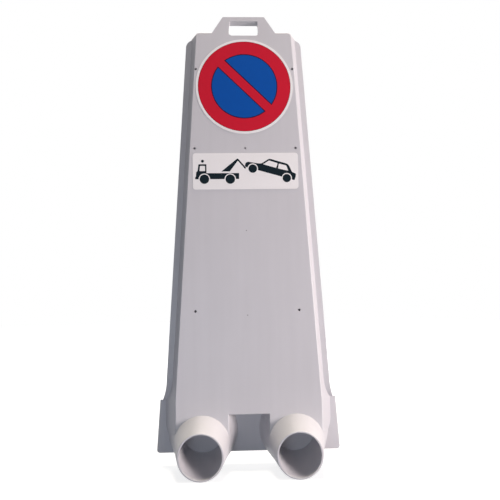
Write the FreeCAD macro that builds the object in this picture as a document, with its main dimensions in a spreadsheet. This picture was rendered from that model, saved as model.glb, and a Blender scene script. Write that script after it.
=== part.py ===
import FreeCAD, Part
import os

import Sketcher

# No-parking sign: one hollow moulded panel that stands on two sockets for 80 mm pipes,
# with two printed films on its face: the no-parking disc and the tow-away plate.
# Millimetres, +Z up. The face looks along -Y. The origin is the centre of the base of the
# overall box. All bodies are drawn with the face in the plane Y = 0, and the three parts are
# moved back together at the end.

SIZES = {
    # front face
    "shoulder_height": (883.5, "top edge of the face, beside the handle"),
    "face_top_width": (197, "width of the face at the shoulders"),
    "taper_end_height": (136.5, "height where the sides of the face turn upright"),
    "shoulder_radius": (8, "round of the upper corners of the face"),
    "face_bevel": (1.2, "bevel of the edge of the face"),
    "leg_outer_inset": (3.3, "outer side of a leg, inside the round of its socket at the face"),
    "leg_inner_inset": (1.7, "inner side of a leg, inside the round of its socket at the face"),
    "notch_top": (109.5, "height of the gap between the legs at the face"),
    "leg_round_height": (72, "centre of the round leg end at the face"),
    "leg_round_back_height": (93.5, "centre of the round leg end at the back"),
    # depth and walls
    "panel_depth": (22, "face to back of the panel"),
    "foot_depth": (53, "face to back of the foot plate"),
    "wall": (3, "wall thickness"),
    "side_draft": (0.49, "sideways run of the side walls for each mm of depth"),
    "notch_draft": (0.18, "sideways run of the notch walls for each mm of depth"),
    # flange and foot plate
    "flange_lip": (11.4, "width of the flange beside the side wall"),
    "flange_drop": (7, "shoulders down to the top edge of the flange"),
    "flange_radius": (17, "round of the upper corners of the flange"),
    "bend_top": (178.5, "height where the back starts to sweep to the foot plate"),
    "plate_top": (131.5, "height where the sweep meets the foot plate"),
    "plate_bottom": (26.5, "lower edge of the foot plate"),
    "plate_flare": (16.8, "how far the foot plate stands out past the flange at its top"),
    "plate_ledge": (5, "how far the foot plate stands out past the end of the sweep"),
    "plate_spread": (7.1, "how much further the foot plate stands out at its lower edge"),
    "plate_radius": (6, "round of the lower corners of the foot plate"),
    # handle
    "handle_rise": (33.5, "shoulders up to the top of the handle"),
    "handle_top_width": (86, "width of the top of the handle"),
    "handle_root_width": (130, "width of the handle at the shoulders"),
    "handle_depth": (19.4, "face to back of the handle"),
    "handle_radius": (3, "round of the upper corners of the handle"),
    "slot_bar": (9, "solid bar above the hand slot"),
    "slot_height": (31, "height of the hand slot"),
    "slot_web": (9, "solid material under the hand slot"),
    "slot_top_width": (58, "width of the hand slot at its top"),
    "slot_foot_width": (62, "width of the hand slot at its bottom"),
    "slot_radius": (6, "round of the lower corners of the hand slot"),
    "slot_upper_radius": (2, "round of the upper corners of the hand slot"),
    # pipe sockets
    "socket_spacing": (184.6, "distance between the centres of the two sockets"),
    "socket_reach": (48, "face to mouth of the socket"),
    "mouth_diameter": (87.6, "outside of the socket at its mouth, behind the bevel"),
    "root_diameter": (109, "outside of the socket at the face"),
    "base_diameter": (143, "outside of the socket at the back"),
    "rim_bevel": (1, "bevel around the outside of the mouth"),
    "bore_diameter": (80, "bore for the pipe"),
    "bore_tilt": (13, "rise of the bore towards the back, in degrees"),
    "bore_wall": (4, "wall around the bore inside the panel"),
    # screw holes, vent hole and moulding marks
    "upper_hole_drop": (78.1, "shoulders down to the upper pair of holes"),
    "upper_hole_margin": (3.8, "centre of an upper hole to the edge of the face"),
    "middle_hole_drop": (245, "shoulders down to the middle pair of holes"),
    "lower_hole_height": (310, "height of the lower pair of holes"),
    "hole_spacing": (205.6, "distance between the two holes of the middle and lower pairs"),
    "hole_diameter": (4.8, "screw hole"),
    "vent_diameter": (3.6, "vent hole on the centre line, level with the middle pair of holes"),
    "mark_pitch": (168.7, "from the vent hole to a moulding mark, and from that to the next"),
    "mark_diameter": (2.5, "moulding mark"),
    "mark_depth": (1.6, "depth of a moulding mark"),
    # printed films
    "disc_diameter": (200, "no-parking disc"),
    "disc_drop": (115, "shoulders down to the centre of the disc"),
    "tow_width": (214, "width of the tow-away plate"),
    "tow_height": (74.3, "height of the tow-away plate"),
    "tow_drop": (177.5, "centre of the disc down to the centre of the tow-away plate"),
    "tow_radius": (6, "round of the corners of the tow-away plate"),
    "film_thickness": (0.5, "thickness of both films"),
}

document = FreeCAD.newDocument("parking_sign")
sheet = document.addObject("Spreadsheet::Sheet", "Sizes")
for row, (alias, (value, meaning)) in enumerate(SIZES.items(), start=1):
    sheet.set("A%d" % row, meaning)
    sheet.set("B%d" % row, str(value))
    sheet.setAlias("B%d" % row, alias)
document.recompute()


def size(formula):
    """A formula with the sizes' plain names, as an expression that reads the sheet."""
    for alias in sorted(SIZES, key=len, reverse=True):
        formula = formula.replace(alias, "<" + str(list(SIZES).index(alias)) + ">")
    for index, alias in enumerate(SIZES):
        formula = formula.replace("<" + str(index) + ">", "Sizes." + alias)
    return formula


def number(formula):
    """The present value of a formula."""
    value = sheet.evalExpression(size(formula))
    return float(getattr(value, "Value", value))


def new_body(label):
    body = document.addObject("PartDesign::Body", label)
    body.Label = label
    return body


def origin_plane(body, role):
    return next(plane for plane in body.Origin.OriginFeatures if plane.Role == role)


def new_sketch(body, name, role="XZ_Plane", forward="0"):
    """A sketch on one of the body's own planes, moved forward of it by a formula."""
    sketch = body.newObject("Sketcher::SketchObject", name)
    sketch.AttachmentSupport = [(origin_plane(body, role), "")]
    sketch.MapMode = "FlatFace"
    sketch.setExpression("AttachmentOffset.Base.z", size(forward))
    return sketch


def pin(sketch, kind, geometry, point, formula):
    """Hold one coordinate of a point at a formula."""
    constraint = Sketcher.Constraint(kind, -1, 1, geometry, point, number(formula))
    index = sketch.addConstraint(constraint)
    sketch.setExpression("Constraints[%d]" % index, size(formula))


def outline(sketch, corners, arcs=None):
    """A closed outline through corners, taken anticlockwise. arcs maps a corner's place in the
    list to the height of the centre of the arc that leaves it, and to that arc's sense."""
    arcs = arcs or {}
    spots = [FreeCAD.Vector(number(x), number(z), 0) for x, z in corners]
    first = sketch.GeometryCount
    ends = []
    for place, start in enumerate(spots):
        stop = spots[(place + 1) % len(spots)]
        if place not in arcs:
            sketch.addGeometry(Part.LineSegment(start, stop))
            ends.append((1, 2))
            continue
        centre_z = number(arcs[place][0])
        rise = (stop.y - centre_z) ** 2 - (start.y - centre_z) ** 2
        centre_x = (stop.x ** 2 - start.x ** 2 + rise) / (2 * (stop.x - start.x))
        centre = FreeCAD.Vector(centre_x, centre_z, 0)
        circle = Part.Circle(centre, FreeCAD.Vector(0, 0, 1), (start - centre).Length)
        anticlockwise = arcs[place][1] == "anticlockwise"
        low, high = (start, stop) if anticlockwise else (stop, start)
        sketch.addGeometry(Part.ArcOfCircle(circle, circle.parameter(low), circle.parameter(high)))
        ends.append((1, 2) if anticlockwise else (2, 1))
    for place, (x, z) in enumerate(corners):
        after = (place + 1) % len(corners)
        here = first + place
        sketch.addConstraint(Sketcher.Constraint(
            "Coincident", here, ends[place][1], first + after, ends[after][0]))
        pin(sketch, "DistanceX", here, ends[place][0], x)
        pin(sketch, "DistanceY", here, ends[place][0], z)
        if place in arcs:
            pin(sketch, "DistanceY", here, 3, arcs[place][0])
    return sketch


def both_sides(half, arcs=None):
    """The whole outline from its half at +X, which runs from the top down to the middle."""
    count = len(half)
    left = [("-(%s)" % x, z) for x, z in half]
    whole_arcs = {}
    for place, arc in (arcs or {}).items():
        whole_arcs[place] = arc
        whole_arcs[2 * count - 2 - place] = arc
    return left + half[::-1], whole_arcs


def circle(sketch, x, z, diameter):
    spot = FreeCAD.Vector(number(x), number(z), 0)
    radius = number(diameter) / 2
    index = sketch.addGeometry(Part.Circle(spot, FreeCAD.Vector(0, 0, 1), radius))
    pin(sketch, "DistanceX", index, 3, x)
    pin(sketch, "DistanceY", index, 3, z)
    held = sketch.addConstraint(Sketcher.Constraint("Diameter", index, 2 * radius))
    sketch.setExpression("Constraints[%d]" % held, size(diameter))
    return sketch


def extrude(body, kind, name, sketch, length, side="One side", backward=False):
    """A Pad or a Pocket of a sketch, with its length at a formula."""
    feature = body.newObject("PartDesign::" + kind, name)
    feature.Profile = sketch
    feature.SideType = side
    feature.Reversed = backward
    feature.setExpression("Length", size(length))
    document.recompute()
    return feature


def loft(body, name, sketches):
    feature = body.newObject("PartDesign::AdditiveLoft", name)
    feature.Profile = sketches[0]
    feature.Sections = sketches[1:]
    feature.Ruled = True
    document.recompute()
    return feature


def combine(body, name, kind, other):
    """Join another body to this one, or cut it out."""
    feature = body.newObject("PartDesign::Boolean", name)
    feature.setObjects([other])
    feature.Type = kind
    document.recompute()
    return feature


def round_edges(body, name, radius, wanted):
    """A Fillet on those edges of the body so far for which wanted is true."""
    base = body.Tip
    edges = base.Shape.Edges
    names = ["Edge%d" % place for place, edge in enumerate(edges, start=1) if wanted(edge)]
    feature = body.newObject("PartDesign::Fillet", name)
    feature.Base = (base, names)
    feature.setExpression("Radius", size(radius))
    document.recompute()
    return feature


def lies_along_depth(edge):
    """True for an edge whose two ends differ in depth."""
    ends = edge.Vertexes
    return len(ends) == 2 and abs(ends[0].Y - ends[1].Y) > number("wall") / 2


def mean_z(edge):
    return edge.CenterOfMass.z


def is_slot_corner(edge, height, width):
    """True for a corner edge of the hand slot, which runs from front to back."""
    return lies_along_depth(edge) and all(
        abs(end.Z - number(height)) < 1e-4 and abs(abs(end.X) - number(width) / 2) < 1e-4
        for end in edge.Vertexes)


# Heights and widths that several outlines share, at a depth behind the face. The inset is
# nothing for the outside of the wall, and the wall's own run for the hollow inside it.

HALF_FOOT = "(socket_spacing / 2 + root_diameter / 2 - leg_outer_inset)"
HALF_NOTCH = "(socket_spacing / 2 - root_diameter / 2 + leg_inner_inset)"
TAPER = "((%s - face_top_width / 2) / (shoulder_height - taper_end_height))" % HALF_FOOT
TAPER_LENGTH = "sqrt(1 + %s * %s)" % (TAPER, TAPER)


def half_face(height):
    """Half the width of the face at a height above the end of the taper."""
    return "(face_top_width / 2 + %s * (shoulder_height - (%s)))" % (TAPER, height)


def drafted_box(body, name, depth, inset, top, radius):
    """The outline of face and legs at a depth behind the face."""
    spread = "side_draft * (%s) - (%s)" % (depth, inset)
    shoulder = "(%s + %s)" % (half_face(top), spread)
    round_run = "(%s) * (%s - %s)" % (radius, TAPER_LENGTH, TAPER)
    foot = "%s + %s" % (HALF_FOOT, spread)
    leg_inside = "%s - notch_draft * (%s) + (%s)" % (HALF_NOTCH, depth, inset)
    notch = "notch_top - notch_draft * (%s) + (%s)" % (depth, inset)
    rise = "(leg_round_back_height - leg_round_height) / foot_depth"
    round_height = "leg_round_height + %s * (%s)" % (rise, depth)
    half = [
        ("%s - %s" % (shoulder, round_run), top),
        ("%s + %s * %s / %s" % (shoulder, round_run, TAPER, TAPER_LENGTH),
         "%s - %s / %s" % (top, round_run, TAPER_LENGTH)),
        (foot, "taper_end_height"),
        (foot, round_height),
        (leg_inside, round_height),
        (leg_inside, notch),
    ]
    corners, arcs = both_sides(half, {
        0: ("%s - (%s)" % (top, radius), "anticlockwise"),
        3: (round_height, "anticlockwise"),
    })
    sketch = new_sketch(body, name, forward="-(%s)" % depth)
    return outline(sketch, corners, arcs)


HANDLE_TOP = "(shoulder_height + handle_rise)"
SLOT_TOP = "(%s - slot_bar)" % HANDLE_TOP
SLOT_BOTTOM = "(%s - slot_height)" % SLOT_TOP
HOLLOW_TOP = "(%s - slot_web)" % SLOT_BOTTOM
FLANGE_TOP = "(shoulder_height - flange_drop)"
MIDDLE_HOLES = "(shoulder_height - middle_hole_drop)"
DISC_HEIGHT = "(shoulder_height - disc_drop)"
TOW_HEIGHT = "(%s - tow_drop)" % DISC_HEIGHT
BEND_RISE = "(bend_top - plate_top)"
BEND_RUN = "(foot_depth - panel_depth)"
BACK_BEND_END = "bend_top - sqrt(%s * %s - 2 * wall * %s)" % (BEND_RISE, BEND_RISE, BEND_RUN)
FLANGE_FRONT = "panel_depth - wall"
FOOT_FRONT = "foot_depth - wall"
BEYOND = "foot_depth + panel_depth"
ABOVE = "%s + panel_depth" % HANDLE_TOP
PAST_SIDES = "(2 * %s)" % HALF_FOOT
BORE_CLEAR = "(bore_diameter / 2 * tan(bore_tilt) + wall)"


def clear_behind(body, name, depth, foot, bend_end):
    """Take away what lies behind the back, which sweeps back from the panel to the foot plate."""
    corners = [
        (BEYOND, ABOVE),
        (depth, ABOVE),
        (depth, "bend_top"),
        (foot, bend_end),
        (BEYOND, bend_end),
    ]
    sketch = outline(new_sketch(body, name + "_profile", "YZ_Plane"), corners,
                     {2: ("bend_top", "anticlockwise")})
    return extrude(body, "Pocket", name, sketch, "2 * %s" % PAST_SIDES, side="Symmetric")


def socket_skin(body, name, side, sections):
    """One socket's outside: circles that all touch the ground, joined by straight lines."""
    rings = []
    for place, (depth, diameter) in enumerate(sections):
        ring = new_sketch(body, "%s_ring_%d" % (name, place), forward="-(%s)" % depth)
        rings.append(ring)
        circle(ring, "%s * socket_spacing / 2" % side, diameter[1], diameter[0])
    return loft(body, name, rings)


def bore_sketch(body, name, diameter):
    """Circles across the axes of both bores, just outside the mouths."""
    sketch = new_sketch(body, name)
    sketch.AttachmentOffset = FreeCAD.Placement(
        FreeCAD.Vector(), FreeCAD.Rotation(FreeCAD.Vector(1, 0, 0), number("bore_tilt")))
    sketch.setExpression("AttachmentOffset.Rotation.Angle", size("bore_tilt"))
    sketch.setExpression("AttachmentOffset.Base.y",
                         size("mouth_diameter / 2 - %s * sin(bore_tilt)" % BORE_CLEAR))
    sketch.setExpression("AttachmentOffset.Base.z",
                         size("socket_reach + %s * cos(bore_tilt)" % BORE_CLEAR))
    for side in ("-1", "1"):
        circle(sketch, side + " * socket_spacing / 2", "0", diameter)
    return sketch


# The hollow inside the panel, which is taken out of the panel further down

hollow = new_body("hollow")
WALL_RUN = "(wall * sqrt(1 + side_draft * side_draft))"
loft(hollow, "box_hollow", [
    drafted_box(hollow, "hollow_front", "wall", WALL_RUN, HOLLOW_TOP, "shoulder_radius"),
    drafted_box(hollow, "hollow_back", FOOT_FRONT, WALL_RUN, HOLLOW_TOP, "shoulder_radius"),
])
for side, sign in (("left", "-1"), ("right", "1")):
    socket_skin(hollow, side + "_socket_hollow", sign, [
        ("0", ("root_diameter - 2 * wall", "root_diameter / 2")),
        (FOOT_FRONT, ("base_diameter - 2 * wall", "base_diameter / 2")),
    ])
clear_behind(hollow, "keep_back_wall", FLANGE_FRONT, FOOT_FRONT, "plate_top")
core_circles = bore_sketch(hollow, "bore_walls_profile", "bore_diameter + 2 * bore_wall")
extrude(hollow, "Pocket", "keep_bore_walls", core_circles, "3 * foot_depth + socket_reach")

# The flange around the panel, which sweeps back below to become the foot plate

flange = new_body("flange")
back_profile = [
    (FLANGE_FRONT, FLANGE_TOP),
    (FLANGE_FRONT, "bend_top"),
    (FOOT_FRONT, "plate_top"),
    (FOOT_FRONT, "plate_bottom"),
    ("foot_depth", "plate_bottom"),
    ("foot_depth", BACK_BEND_END),
    ("panel_depth", "bend_top"),
    ("panel_depth", FLANGE_TOP),
]
sheet_profile = outline(new_sketch(flange, "back_sheet_profile", "YZ_Plane"), back_profile, {
    1: ("bend_top", "anticlockwise"),
    5: ("bend_top", "clockwise"),
})
extrude(flange, "Pad", "back_sheet", sheet_profile, "2 * %s" % PAST_SIDES, side="Symmetric")

FLANGE_RUN = "side_draft * (%s) + flange_lip" % FLANGE_FRONT
FLANGE_FOOT = "%s + %s" % (half_face("bend_top"), FLANGE_RUN)
flange_half = [
    ("%s + %s" % (half_face(FLANGE_TOP), FLANGE_RUN), FLANGE_TOP),
    (FLANGE_FOOT, "bend_top"),
    ("%s + plate_flare - plate_ledge" % FLANGE_FOOT, "plate_top"),
    ("%s + plate_flare" % FLANGE_FOOT, "plate_top"),
    ("%s + plate_flare + plate_spread" % FLANGE_FOOT, "plate_bottom"),
]
flange_corners, flange_arcs = both_sides(flange_half, {1: ("bend_top", "clockwise")})
trim_sketch = new_sketch(flange, "flange_outline")
outline(trim_sketch, flange_corners, flange_arcs)
outline(trim_sketch, both_sides([(PAST_SIDES, ABOVE), (PAST_SIDES, "-panel_depth")])[0])
extrude(flange, "Pocket", "trim_flange", trim_sketch, BEYOND)
round_edges(flange, "flange_corners", "flange_radius",
            lambda edge: lies_along_depth(edge) and mean_z(edge) > number(FLANGE_TOP) - 1)
round_edges(flange, "plate_corners", "plate_radius",
            lambda edge: lies_along_depth(edge) and mean_z(edge) < number("plate_bottom") + 1)

# The panel: face and legs, flange and foot plate, sockets and handle, and then the cuts

panel = new_body("sign_panel")
loft(panel, "face_and_legs", [
    drafted_box(panel, "face_outline", "0", "face_bevel", "shoulder_height - face_bevel",
                "shoulder_radius - face_bevel"),
    drafted_box(panel, "edge_outline", "face_bevel", "0", "shoulder_height", "shoulder_radius"),
    drafted_box(panel, "foot_outline", "foot_depth", "0", "shoulder_height", "shoulder_radius"),
])
combine(panel, "flange_joined", "Fuse", flange)
for side, sign in (("left", "-1"), ("right", "1")):
    socket_skin(panel, side + "_socket", sign, [
        ("-socket_reach", ("mouth_diameter - 2 * rim_bevel", "mouth_diameter / 2")),
        ("rim_bevel - socket_reach", ("mouth_diameter", "mouth_diameter / 2")),
        ("0", ("root_diameter", "root_diameter / 2")),
        ("foot_depth", ("base_diameter", "base_diameter / 2")),
    ])
clear_behind(panel, "clear_back", "panel_depth", "foot_depth", BACK_BEND_END)

handle_half = [
    ("handle_top_width / 2", HANDLE_TOP),
    ("handle_root_width / 2", "shoulder_height"),
    ("handle_root_width / 2", HOLLOW_TOP),
]
handle_sketch = outline(new_sketch(panel, "handle_outline"), both_sides(handle_half)[0])
extrude(panel, "Pad", "handle", handle_sketch, "handle_depth", backward=True)
round_edges(panel, "handle_corners", "handle_radius",
            lambda edge: lies_along_depth(edge) and mean_z(edge) > number(HANDLE_TOP) - 1)

combine(panel, "hollowing", "Cut", hollow)

bore_circles = bore_sketch(panel, "bore_profile", "bore_diameter")
BORE_DEPTH = "(socket_reach + foot_depth - wall - bore_diameter / 2 * sin(bore_tilt)) / cos(bore_tilt)"
extrude(panel, "Pocket", "bores", bore_circles, "%s + %s" % (BORE_DEPTH, BORE_CLEAR))

slot_half = [("slot_top_width / 2", SLOT_TOP), ("slot_foot_width / 2", SLOT_BOTTOM)]
slot_sketch = outline(new_sketch(panel, "slot_outline"), both_sides(slot_half)[0])
extrude(panel, "Pocket", "hand_slot", slot_sketch, BEYOND)
round_edges(panel, "slot_corners", "slot_radius",
            lambda edge: is_slot_corner(edge, SLOT_BOTTOM, "slot_foot_width"))
round_edges(panel, "slot_upper_corners", "slot_upper_radius",
            lambda edge: is_slot_corner(edge, SLOT_TOP, "slot_top_width"))

hole_sketch = new_sketch(panel, "hole_circles")
UPPER_HOLES = "(shoulder_height - upper_hole_drop)"
for height, half_spacing in (
    (UPPER_HOLES, "(%s - upper_hole_margin)" % half_face(UPPER_HOLES)),
    (MIDDLE_HOLES, "hole_spacing / 2"),
    ("lower_hole_height", "hole_spacing / 2"),
):
    for side in ("-1", "1"):
        circle(hole_sketch, "%s * %s" % (side, half_spacing), height, "hole_diameter")
circle(hole_sketch, "0", MIDDLE_HOLES, "vent_diameter")
extrude(panel, "Pocket", "holes", hole_sketch, "2 * wall")

mark_sketch = new_sketch(panel, "mark_circles")
for step in (1, 2):
    circle(mark_sketch, "0", "%s - %d * mark_pitch" % (MIDDLE_HOLES, step), "mark_diameter")
extrude(panel, "Pocket", "moulding_marks", mark_sketch, "mark_depth")

# The printed films, which lie on the face

disc = new_body("no_parking_disc")
disc_sketch = circle(new_sketch(disc, "disc_outline"), "0", DISC_HEIGHT, "disc_diameter")
extrude(disc, "Pad", "disc_film", disc_sketch, "film_thickness")

tow_plate = new_body("tow_away_plate")
tow_half = [
    ("tow_width / 2", "%s + tow_height / 2" % TOW_HEIGHT),
    ("tow_width / 2", "%s - tow_height / 2" % TOW_HEIGHT),
]
tow_sketch = outline(new_sketch(tow_plate, "tow_outline"), both_sides(tow_half)[0])
extrude(tow_plate, "Pad", "tow_film", tow_sketch, "film_thickness")
round_edges(tow_plate, "tow_corners", "tow_radius",
            lambda edge: len(edge.Vertexes) == 2 and edge.Length < 2 * number("film_thickness"))

# Move the parts to their place, check every object and every shape, and write the parts

for body in (panel, disc, tow_plate):
    body.setExpression("Placement.Base.y", size("(socket_reach - foot_depth) / 2"))
document.recompute()
for item in document.Objects:
    if "Invalid" in item.State or "Error" in item.State:
        raise RuntimeError("%s failed: %s" % (item.Label, item.State))
os.makedirs("parts", exist_ok=True)
for body in (panel, disc, tow_plate):
    if body.Shape.isNull() or not body.Shape.isValid():
        raise RuntimeError("%s has no valid shape" % body.Label)
for body in (panel, disc, tow_plate):
    body.Shape.exportStep("parts/%s.step" % body.Label)
    print(body.Label, len(body.Shape.Solids), "solid", round(body.Shape.Volume), "mm3")
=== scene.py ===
import math

import bmesh
import bpy
from bpy.props import FloatProperty, FloatVectorProperty, PointerProperty
from mathutils import Matrix, Vector


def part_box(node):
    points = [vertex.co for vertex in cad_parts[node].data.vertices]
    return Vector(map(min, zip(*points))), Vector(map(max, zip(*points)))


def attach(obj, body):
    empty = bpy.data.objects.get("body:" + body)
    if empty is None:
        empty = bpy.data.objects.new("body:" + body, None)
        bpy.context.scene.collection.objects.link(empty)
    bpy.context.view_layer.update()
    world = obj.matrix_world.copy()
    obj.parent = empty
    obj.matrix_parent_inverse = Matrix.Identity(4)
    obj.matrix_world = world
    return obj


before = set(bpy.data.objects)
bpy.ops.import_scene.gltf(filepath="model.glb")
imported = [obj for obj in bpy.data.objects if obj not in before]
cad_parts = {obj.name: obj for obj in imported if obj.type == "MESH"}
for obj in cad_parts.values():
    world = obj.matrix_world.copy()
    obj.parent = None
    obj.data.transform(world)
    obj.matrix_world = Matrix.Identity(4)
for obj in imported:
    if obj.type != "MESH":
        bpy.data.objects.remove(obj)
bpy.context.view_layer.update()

bl_info = {
    "name": "Parking sign",
    "version": (1, 0, 0),
    "blender": (4, 5, 0),
    "location": "View3D > Sidebar > Parking sign",
    "description": "Dresses a moulded parking sign with its plastic, films and printed inks",
    "category": "Object",
}

MM = 0.001

# The two small round marks that the mould left on the centre line, around which painted shade
# darkens the
# # plastic: their heights, and how far back their floor lies, in metres
MARK_HEIGHTS = (0.4698, 0.3011)
MARK_FLOOR = -0.0009

# The slash of the disc: its lean in degrees, and how far it runs from the centre in millimetres
SLASH_ANGLE = -44.6
SLASH_OFFSET = 1.3

# The pictogram of the plate, in millimetres from the centre of its film, x to the right and z up;
# a beacon or wheel is its centre and radius
CAB = [(-79, 14.5), (-95, 14.5), (-96.8, 1), (-99.8, -2.4), (-100.4, -11), (-102, -12.5),
       (-102, -16.2), (-13.2, -16.2), (-13.2, -4), (-79, -4)]
CAB_WINDOW = [(-81.8, 0.4), (-81.8, 11), (-92, 11), (-93, 0.4)]
CRANE = [(-49, -0.6), (-32, -0.6), (-15.4, 21.5), (-0.9, 4.5), (1.5, 6.5), (-14.8, 25.6),
         (-16.8, 25.8)]
BEACON = (-87, 20.8, 3)
TRUCK_WHEELS = [(-83.3, -16.2, 9.6), (-31.1, -16.4, 9.6)]
CAR = [(1.2, 17.3), (-0.6, 14.6), (-1.2, 9.4), (8, 6), (26.6, 1.3), (73.1, -12), (99.1, -19.7),
       (101.6, -12.1), (102.5, -6.2), (94.3, -2.6), (88.1, 11.7), (84.2, 14.8), (50.4, 24.9),
       (46.9, 24.5), (32.7, 15.5), (26.9, 15.5), (4.8, 19.2)]
CAR_WINDOWS = [
    [(35.6, 13.8), (62.2, 6), (65.5, 15.8), (48, 21.4)],
    [(65.9, 4.9), (87, -0.2), (82.9, 11), (68, 15)],
]
CAR_WHEELS = [(14.6, 4.9, 8.7), (83.5, -15.1, 8.5)]
TYRE_RIM_WIDTH = 2

# Depth of one layer of ink, in millimetres
INK_DEPTH = 0.03

# The lamps, in metres: the setting that holds a lamp's power, its place, the point that it looks
# at, its width and its tone
LAMPS = {
    "side_lamp": ("side_power", (2.2, -1.2, 0.36), (0, 0, 0.3), 1.05, (1, 0.9, 0.88)),
    "top_lamp": ("top_power", (0, -0.06, 2.6), (0, 0, 0.1), 0.5, (1, 0.92, 0.78)),
    "fill_lamp": ("fill_power", (-0.3, -1.3, 0.17), (0, 0, 0.1), 0.3, (0.68, 0.83, 1)),
    "back_lamp": ("back_power", (0, 2.1, 1.3), (0, 0, 0.45), 1.4, (1, 0.98, 0.97)),
}
FLOOR_RADIUS = 6
SENSOR_WIDTH_MM = 36


def from_hex(code):
    """An sRGB hex colour as linear red, green and blue."""
    parts = [int(code[place:place + 2], 16) / 255 for place in (0, 2, 4)]
    return [part / 12.92 if part <= 0.04045 else ((part + 0.055) / 1.055) ** 2.4 for part in parts]


def length(name, description, default):
    """A setting in metres."""
    return FloatProperty(name=name, description=description, default=default, unit="LENGTH",
                         precision=4)


def angle(name, description, default):
    """A setting in radians, which Blender shows in degrees."""
    return FloatProperty(name=name, description=description, default=default, subtype="ANGLE")


def power(name, description, default):
    """A setting in watts."""
    return FloatProperty(name=name, description=description, default=default, unit="POWER")


def colour(name, description, code):
    """A setting that holds a colour."""
    return FloatVectorProperty(name=name, description=description, default=from_hex(code), size=3,
                               subtype="COLOR", min=0, max=1)


class SignColours(bpy.types.PropertyGroup):
    """Colours of the plastic, the films and the inks."""

    plastic: colour("Plastic", "Light grey of the moulded panel", "C7C5C8")
    film: colour("Film", "White of both reflective films", "F0EDEC")
    red: colour("Red ink", "Ring and slash of the disc", "C91E33")
    ring_edge: colour("Ring edge ink", "Thin line around the red ring", "6E1420")
    blue: colour("Blue ink", "Field of the disc", "0D4FA2")
    outline: colour("Outline ink", "Dark line around the blue fields", "120C28")
    black: colour("Black ink", "Truck and car of the plate", "0C1A21")


class SignPrint(bpy.types.PropertyGroup):
    """Sizes of the printed fields."""

    ring_radius: length("Ring radius", "Outer radius of the red ring", 0.0952)
    field_radius: length("Field radius", "Radius of the blue field", 0.0682)
    slash_width: length("Slash width", "Width of the red slash", 0.0180)
    outline_width: length("Outline width", "Width of the dark line around the blue", 0.0019)
    edge_width: length("Ring edge width", "Width of the thin line around the red ring", 0.0008)


class SignView(bpy.types.PropertyGroup):
    """The camera and the lamps."""

    lens: FloatProperty(name="Lens", description="Focal length on a sensor of 36 mm",
                        default=37.44)
    camera_x: length("Camera X", "Place of the camera across the sign", -0.0300)
    camera_y: length("Camera Y", "Place of the camera in front of the sign", -1.0378)
    camera_z: length("Camera Z", "Height of the camera", 0.3396)
    yaw: angle("Yaw", "Turn to the right", 0.0353)
    pitch: angle("Pitch", "Look upward", 0.0874)
    roll: angle("Roll", "Lean of the camera", -0.0154)
    side_power: power("Side lamp", "Power of the warm lamp at the right", 90)
    top_power: power("Top lamp", "Power of the warm lamp overhead", 66)
    fill_power: power("Fill lamp", "Power of the cool lamp low at the left", 2.1)
    back_power: power("Back lamp", "Power of the lamp behind the sign", 26)
    ambient: FloatProperty(name="Ambient", description="Strength of the light from all sides",
                           default=0.09)


def add_node(tree, kind, inputs=(), links=(), **settings):
    """Add a node, set its properties and inputs, and link outputs of other nodes to its inputs."""
    node = tree.nodes.new(kind)
    for key, value in settings.items():
        setattr(node, key, value)
    for socket, value in dict(inputs).items():
        node.inputs[socket].default_value = value
    for socket, output in dict(links).items():
        tree.links.new(output, node.inputs[socket])
    return node


def new_material(name):
    """An empty material and its node tree."""
    material = bpy.data.materials.new(name)
    material.use_nodes = True
    material.node_tree.nodes.clear()
    return material, material.node_tree


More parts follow.
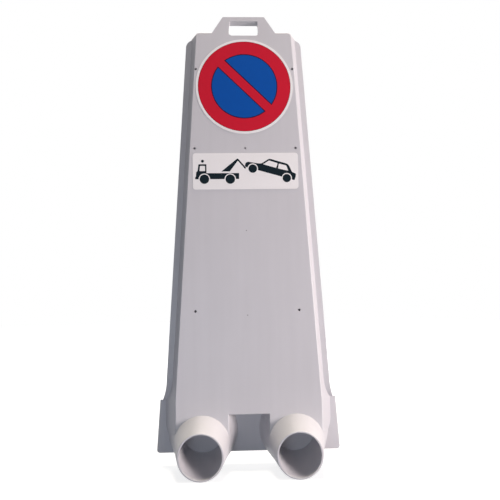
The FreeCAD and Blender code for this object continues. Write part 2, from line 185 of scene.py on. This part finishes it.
def moulded_polyethylene():
    """Light grey polyethylene as it leaves a mould: a satin skin with a faint pebble that the mould
    left, long shallow waves where the wall cooled unevenly, soft clouds and upright streaks of tone
    where the melt ran down the mould, and gloss that varies a little. Painted shade darkens the
    plastic in and around the two small round marks on the centre line, so that they show as dark
    pits."""
    colours = bpy.context.scene.sign_colours
    material, tree = new_material("light_grey_polyethylene_moulded")
    place = add_node(tree, "ShaderNodeTexCoord").outputs["Object"]
    pebble_mm = 3.2     # real pebble is about 0.5 mm, drawn coarser so that it shows
    waves_mm = 90
    patches_mm = 110
    streak_mm = (16, 16, 240)
    pebble = add_node(tree, "ShaderNodeTexNoise", {"Scale": 1 / (pebble_mm * MM), "Detail": 2.0},
                      {"Vector": place})
    waves = add_node(tree, "ShaderNodeTexNoise", {"Scale": 1 / (waves_mm * MM), "Detail": 1.0},
                     {"Vector": place})
    patches = add_node(tree, "ShaderNodeTexNoise", {"Scale": 1 / (patches_mm * MM), "Detail": 3.0},
                       {"Vector": place})
    drawn = add_node(tree, "ShaderNodeVectorMath", {1: [1 / (width * MM) for width in streak_mm]},
                     {0: place}, operation="MULTIPLY")
    streaks = add_node(tree, "ShaderNodeTexNoise", {"Scale": 1.0, "Detail": 2.0},
                       {"Vector": drawn.outputs[0]})
    cloudy = add_node(tree, "ShaderNodeMath", links={
        0: patches.outputs["Fac"], 1: streaks.outputs["Fac"]}, operation="ADD")
    share = add_node(tree, "ShaderNodeMapRange", {"From Min": 0.7, "From Max": 1.3},
                     {"Value": cloudy.outputs[0]})
    base = Vector(colours.plastic)
    tint = add_node(tree, "ShaderNodeMix", {6: (*(base * 0.98), 1), 7: (*(base * 1.02), 1)},
                    {"Factor": share.outputs["Result"]}, data_type="RGBA")
    # Painted shade: within about 2 mm of either mark's floor the plastic's colour is halved,
    # standing in for the shade that the pits hold
    reaches = [add_node(tree, "ShaderNodeVectorMath", {1: (0, MARK_FLOOR, height)}, {0: place},
                        operation="DISTANCE") for height in MARK_HEIGHTS]
    nearest = add_node(tree, "ShaderNodeMath", links={
        place_in_row: reach.outputs["Value"] for place_in_row, reach in enumerate(reaches)},
        operation="MINIMUM")
    pit_shade_mm = (1.7, 2.1)    # from a mark's floor to where the painted shade starts to thin, and ends
    pit_shade_factor = add_node(tree, "ShaderNodeMapRange",
                     {"From Min": pit_shade_mm[0] * MM, "From Max": pit_shade_mm[1] * MM,
                      "To Min": 0.5, "To Max": 1.0}, {"Value": nearest.outputs[0]})
    pit_painted_shade = add_node(tree, "ShaderNodeMix", {0: 1.0},
                     {6: tint.outputs[2], 7: pit_shade_factor.outputs["Result"]},
                     data_type="RGBA", blend_type="MULTIPLY")
    gloss = add_node(tree, "ShaderNodeMapRange", {"To Min": 0.4, "To Max": 0.5},
                     {"Value": patches.outputs["Fac"]})
    wavy = add_node(tree, "ShaderNodeBump", {"Strength": 0.3, "Distance": 0.6 * MM},
                    {"Height": waves.outputs["Fac"]})
    skin = add_node(tree, "ShaderNodeBump", {"Strength": 0.3, "Distance": 0.15 * MM},
                    {"Height": pebble.outputs["Fac"], "Normal": wavy.outputs["Normal"]})
    shader = add_node(tree, "ShaderNodeBsdfPrincipled", {"IOR": 1.54, "Specular IOR Level": 0.4},
                      {"Base Color": pit_painted_shade.outputs[2], "Roughness": gloss.outputs["Result"],
                       "Normal": skin.outputs["Normal"]})
    add_node(tree, "ShaderNodeOutputMaterial", links={"Surface": shader.outputs["BSDF"]})
    return material


def reflective_film():
    """White glass-bead reflective film under a clear face: bright, a little pearly, with the fine
    cells of its backing just showing as a soft unevenness."""
    colours = bpy.context.scene.sign_colours
    material, tree = new_material("white_reflective_film")
    place = add_node(tree, "ShaderNodeTexCoord").outputs["Object"]
    cell_mm = 3.0
    cells = add_node(tree, "ShaderNodeTexVoronoi", {"Scale": 1 / (cell_mm * MM)}, {"Vector": place},
                     feature="DISTANCE_TO_EDGE")
    base = Vector(colours.film)
    tint = add_node(tree, "ShaderNodeMix", {6: (*(base * 0.96), 1), 7: (*(base * 1.02), 1)},
                    {"Factor": cells.outputs["Distance"]}, data_type="RGBA")
    skin = add_node(tree, "ShaderNodeBump", {"Strength": 0.08, "Distance": 0.05 * MM},
                    {"Height": cells.outputs["Distance"]})
    shader = add_node(tree, "ShaderNodeBsdfPrincipled",
                      {"IOR": 1.49, "Roughness": 0.38, "Coat Weight": 0.25, "Coat Roughness": 0.15},
                      {"Base Color": tint.outputs[2], "Normal": skin.outputs["Normal"]})
    add_node(tree, "ShaderNodeOutputMaterial", links={"Surface": shader.outputs["BSDF"]})
    return material


def screen_ink(name, tone):
    """Transparent screen ink on film: one flat tone with a clean edge, a soft shine, and the faint
    mottle of the mesh that it was pressed through."""
    material, tree = new_material(name)
    place = add_node(tree, "ShaderNodeTexCoord").outputs["Object"]
    mottle_mm = 7.0
    mottle = add_node(tree, "ShaderNodeTexNoise", {"Scale": 1 / (mottle_mm * MM), "Detail": 3.0},
                      {"Vector": place})
    base = Vector(tone)
    tint = add_node(tree, "ShaderNodeMix", {6: (*(base * 0.95), 1), 7: (*(base * 1.05), 1)},
                    {"Factor": mottle.outputs["Fac"]}, data_type="RGBA")
    shader = add_node(tree, "ShaderNodeBsdfPrincipled",
                      {"IOR": 1.49, "Roughness": 0.42, "Specular IOR Level": 0.1},
                      {"Base Color": tint.outputs[2]})
    add_node(tree, "ShaderNodeOutputMaterial", links={"Surface": shader.outputs["BSDF"]})
    return material


def seen_rays(tree):
    """1 for the rays that show the background: the camera's, off gloss, and through glass."""
    ray = add_node(tree, "ShaderNodeLightPath")
    clear = add_node(tree, "ShaderNodeMath", operation="MAXIMUM", links={
        0: ray.outputs["Is Glossy Ray"], 1: ray.outputs["Is Transmission Ray"]})
    seen = add_node(tree, "ShaderNodeMath", operation="MAXIMUM", links={
        0: ray.outputs["Is Camera Ray"], 1: clear.outputs[0]})
    return seen.outputs[0]


def matte_white_floor():
    """Matte white paint. The rays that show the background see it nearly white, with the sign's
    faint shadow, and pure white far away, so that no horizon shows. To all other light it is a
    darker, cooler paint, so that it doesn't throw light up at the sign."""
    material, tree = new_material("white_paint_matte")
    paint = add_node(tree, "ShaderNodeBsdfDiffuse", {"Color": (0.2, 0.22, 0.28, 1)})
    shade = add_node(tree, "ShaderNodeBsdfDiffuse", {"Color": (0.3, 0.3, 0.3, 1)})
    place = add_node(tree, "ShaderNodeTexCoord").outputs["Object"]
    away = add_node(tree, "ShaderNodeVectorMath", links={0: place}, operation="LENGTH")
    bright = add_node(tree, "ShaderNodeMapRange",
                      {"From Min": 0.5, "From Max": 2.0, "To Min": 0.82, "To Max": 1.0},
                      {"Value": away.outputs["Value"]}, interpolation_type="SMOOTHSTEP")
    glow = add_node(tree, "ShaderNodeEmission", links={"Strength": bright.outputs["Result"]})
    seen = add_node(tree, "ShaderNodeAddShader", links={0: shade.outputs[0], 1: glow.outputs[0]})
    mixed = add_node(tree, "ShaderNodeMixShader", links={
        "Fac": seen_rays(tree), 1: paint.outputs[0], 2: seen.outputs[0]})
    add_node(tree, "ShaderNodeOutputMaterial", links={"Surface": mixed.outputs[0]})
    return material


def arc_points(centre, radius, start, end, steps):
    """Points along an arc, from one angle to another in degrees, both ends included."""
    turns = [math.radians(start + (end - start) * step / steps) for step in range(steps + 1)]
    return [(centre[0] + radius * math.cos(turn), centre[1] + radius * math.sin(turn))
            for turn in turns]


def disc_points(centre, radius, steps):
    """Points around a circle."""
    return arc_points(centre, radius, 0, 360, steps)[:-1]


def rounded(corners, radius, steps=4):
    """An outline with each corner rounded, by less where its sides are short."""
    points = []
    count = len(corners)
    for place in range(count):
        here = Vector(corners[place])
        before = Vector(corners[place - 1]) - here
        after = Vector(corners[(place + 1) % count]) - here
        reach = min(radius, before.length / 2.2, after.length / 2.2)
        start = here + before.normalized() * reach
        end = here + after.normalized() * reach
        for step in range(steps + 1):
            share = step / steps
            points.append(tuple(start * (1 - share) ** 2 + here * 2 * share * (1 - share)
                                + end * share ** 2))
    return points


def print_layer(name, outlines, centre, front, material):
    """One printed piece: flat fields with a thin edge, in millimetres from their film's centre."""
    mesh = bpy.data.meshes.new(name)
    shapes = bmesh.new()
    for outline in outlines:
        front_rim, back_rim = [
            [shapes.verts.new((centre[0] + x * MM, depth, centre[1] + z * MM)) for x, z in outline]
            for depth in (front, front + INK_DEPTH * MM)]
        shapes.faces.new(front_rim)
        shapes.faces.new(list(reversed(back_rim)))
        for place in range(len(outline)):
            shapes.faces.new((front_rim[place - 1], back_rim[place - 1],
                              back_rim[place], front_rim[place]))
    bmesh.ops.recalc_face_normals(shapes, faces=shapes.faces)
    shapes.to_mesh(mesh)
    shapes.free()
    mesh.materials.append(material)
    piece = bpy.data.objects.new(name, mesh)
    bpy.context.collection.objects.link(piece)
    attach(piece, "root")
    return piece


def film_place(node):
    """Where prints on a film go: the centre of its face, and the depth of its front."""
    low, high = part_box(node)
    return ((low[0] + high[0]) / 2, (low[2] + high[2]) / 2), low[1]


def dress(node, material):
    """Give a solid of the frame its material, and keep its surface."""
    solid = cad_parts[node]
    solid.data.materials.clear()
    solid.data.materials.append(material)


class SIGN_OT_panel(bpy.types.Operator):
    """Give the moulded panel its plastic."""

    bl_idname = "sign.panel"
    bl_label = "Moulded panel"

    def execute(self, context):
        dress("sign_panel", moulded_polyethylene())
        return {"FINISHED"}


class SIGN_OT_disc(bpy.types.Operator):
    """Print the no-parking disc: a red ring and slash, and two blue fields with dark outlines."""

    bl_idname = "sign.disc"
    bl_label = "No-parking disc"

    def execute(self, context):
        sizes = context.scene.sign_print
        colours = context.scene.sign_colours
        dress("no_parking_disc", reflective_film())
        centre, front = film_place("no_parking_disc")
        ring = sizes.ring_radius / MM
        edge = sizes.edge_width / MM
        half_slash = sizes.slash_width / 2 / MM
        field = sizes.field_radius / MM
        line = sizes.outline_width / MM
        layers = [
            ("ring_edge_print", [disc_points((0, 0), ring, 160)],
             "dark_red_screen_ink", colours.ring_edge),
            ("red_ring_print", [disc_points((0, 0), ring - edge, 160)],
             "red_screen_ink", colours.red),
            ("field_outline_print", self.fields(field, half_slash),
             "dark_screen_ink", colours.outline),
            ("blue_field_print", self.fields(field - line, half_slash + line),
             "blue_screen_ink", colours.blue),
        ]
        for place, (name, outlines, ink, tone) in enumerate(layers, start=1):
            print_layer(name, outlines, centre, front - place * INK_DEPTH * MM,
                        screen_ink(ink, tone))
        return {"FINISHED"}

    def fields(self, radius, half_slash):
        """The two parts of a disc that the slash leaves free."""
        outlines = []
        for turn, edge in ((0, half_slash + SLASH_OFFSET), (180, half_slash - SLASH_OFFSET)):
            low = math.degrees(math.asin(edge / radius))
            start = turn + SLASH_ANGLE + low
            outlines.append(arc_points((0, 0), radius, start, start + 180 - 2 * low, 72))
        return outlines


class SIGN_OT_tow_plate(bpy.types.Operator):
    """Print the tow-away plate: a tow truck that lifts the front of a car."""

    bl_idname = "sign.tow_plate"
    bl_label = "Tow-away plate"

    def execute(self, context):
        colours = context.scene.sign_colours
        film = bpy.data.materials["white_reflective_film"]
        black = screen_ink("black_screen_ink", colours.black)
        dress("tow_away_plate", film)
        centre, front = film_place("tow_away_plate")
        wheels = TRUCK_WHEELS + CAR_WHEELS
        layers = [
            ("tow_truck_print",
             [rounded(CAB, 1), disc_points(BEACON[:2], BEACON[2], 32)], black),
            ("lifted_car_print", [rounded(CAR, 2)], black),
            ("window_print",
             [rounded(shape, 1) for shape in [CAB_WINDOW] + CAR_WINDOWS], film),
            ("wheel_rim_print",
             [disc_points((x, z), radius + TYRE_RIM_WIDTH, 48) for x, z, radius in wheels], film),
            ("wheel_print",
             [disc_points((x, z), radius, 48) for x, z, radius in wheels], black),
        ]
        for place, (name, outlines, material) in enumerate(layers, start=1):
            print_layer(name, outlines, centre, front - place * INK_DEPTH * MM, material)
        print_layer("crane_print", [rounded(CRANE, 0.6)], centre, front - INK_DEPTH * MM, black)
        return {"FINISHED"}


class SIGN_OT_stage(bpy.types.Operator):
    """Set up the floor, the lamps, the surrounding light and the camera."""

    bl_idname = "sign.stage"
    bl_label = "Floor, lamps and camera"

    def execute(self, context):
        view = context.scene.sign_view
        bpy.ops.mesh.primitive_circle_add(vertices=64, radius=FLOOR_RADIUS, fill_type="NGON")
        floor = context.object
        floor.name = "studio_floor"
        floor.data.materials.append(matte_white_floor())
        for name, (setting, place, target, width, tone) in LAMPS.items():
            self.lamp(name, place, target, width, getattr(view, setting), tone)
        self.surroundings(context.scene, view.ambient)
        self.camera(context.scene, view)
        return {"FINISHED"}

    def lamp(self, name, place, target, width, power, tone):
        """A square soft lamp that looks at a point."""
        data = bpy.data.lights.new(name, "AREA")
        data.size = width
        data.energy = power
        data.color = tone
        lamp = bpy.data.objects.new(name, data)
        lamp.location = place
        lamp.visible_camera = False
        ahead = Vector(target) - Vector(place)
        lamp.rotation_euler = ahead.to_track_quat("-Z", "Y").to_euler()
        bpy.context.collection.objects.link(lamp)

    def surroundings(self, scene, strength):
        """Even bluish light from all sides, which camera, glossy and clear rays see as white."""
        world = bpy.data.worlds.new("studio_surroundings")
        scene.world = world
        world.use_nodes = True
        tree = world.node_tree
        tree.nodes.clear()
        soft = add_node(tree, "ShaderNodeBackground",
                        {"Color": (0.94, 0.94, 1.14, 1), "Strength": strength})
        white = add_node(tree, "ShaderNodeBackground", {"Color": (1, 1, 1, 1), "Strength": 1.0})
        mixed = add_node(tree, "ShaderNodeMixShader", links={
            "Fac": seen_rays(tree), 1: soft.outputs[0], 2: white.outputs[0]})
        add_node(tree, "ShaderNodeOutputWorld", links={"Surface": mixed.outputs[0]})

    def camera(self, scene, view):
        """The camera stands low in front of the sign, a little to the left, and looks up at it."""
        ahead = Vector((math.sin(view.yaw) * math.cos(view.pitch),
                        math.cos(view.yaw) * math.cos(view.pitch), math.sin(view.pitch)))
        level = Vector((math.cos(view.yaw), -math.sin(view.yaw), 0))
        upright = level.cross(ahead)
        right = math.cos(view.roll) * level + math.sin(view.roll) * upright
        up = math.cos(view.roll) * upright - math.sin(view.roll) * level
        data = bpy.data.cameras.new("front_camera")
        data.sensor_width = SENSOR_WIDTH_MM
        data.lens = view.lens
        camera = bpy.data.objects.new("front_camera", data)
        turn = Matrix((right, up, -ahead)).transposed().to_4x4()
        place = (view.camera_x, view.camera_y, view.camera_z)
        camera.matrix_world = Matrix.Translation(place) @ turn
        scene.collection.objects.link(camera)
        scene.camera = camera
        scene.view_settings.view_transform = "Standard"


class SIGN_PT_panel(bpy.types.Panel):
    """The settings and the steps, in the sidebar of the 3D view."""

    bl_idname = "SIGN_PT_panel"
    bl_label = "Parking sign"
    bl_space_type = "VIEW_3D"
    bl_region_type = "UI"
    bl_category = "Parking sign"

    def draw(self, context):
        scene = context.scene
        for group in (scene.sign_colours, scene.sign_print, scene.sign_view):
            box = self.layout.box()
            for name in group.__annotations__:
                box.prop(group, name)
        for step in STEPS:
            self.layout.operator(step.bl_idname)


SETTINGS = {"sign_colours": SignColours, "sign_print": SignPrint, "sign_view": SignView}
STEPS = [SIGN_OT_panel, SIGN_OT_disc, SIGN_OT_tow_plate, SIGN_OT_stage]


def register():
    """Add the settings, the steps and the panel to Blender."""
    for kind in [*SETTINGS.values(), *STEPS, SIGN_PT_panel]:
        bpy.utils.register_class(kind)
    for name, kind in SETTINGS.items():
        setattr(bpy.types.Scene, name, PointerProperty(type=kind))


def unregister():
    """Take them away again."""
    for name in SETTINGS:
        delattr(bpy.types.Scene, name)
    for kind in reversed([*SETTINGS.values(), *STEPS, SIGN_PT_panel]):
        bpy.utils.unregister_class(kind)


def main():
    """Dress the sign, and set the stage."""
    register()
    bpy.ops.sign.panel()
    bpy.ops.sign.disc()
    bpy.ops.sign.tow_plate()
    bpy.ops.sign.stage()


if __name__ == "__main__":
    main()
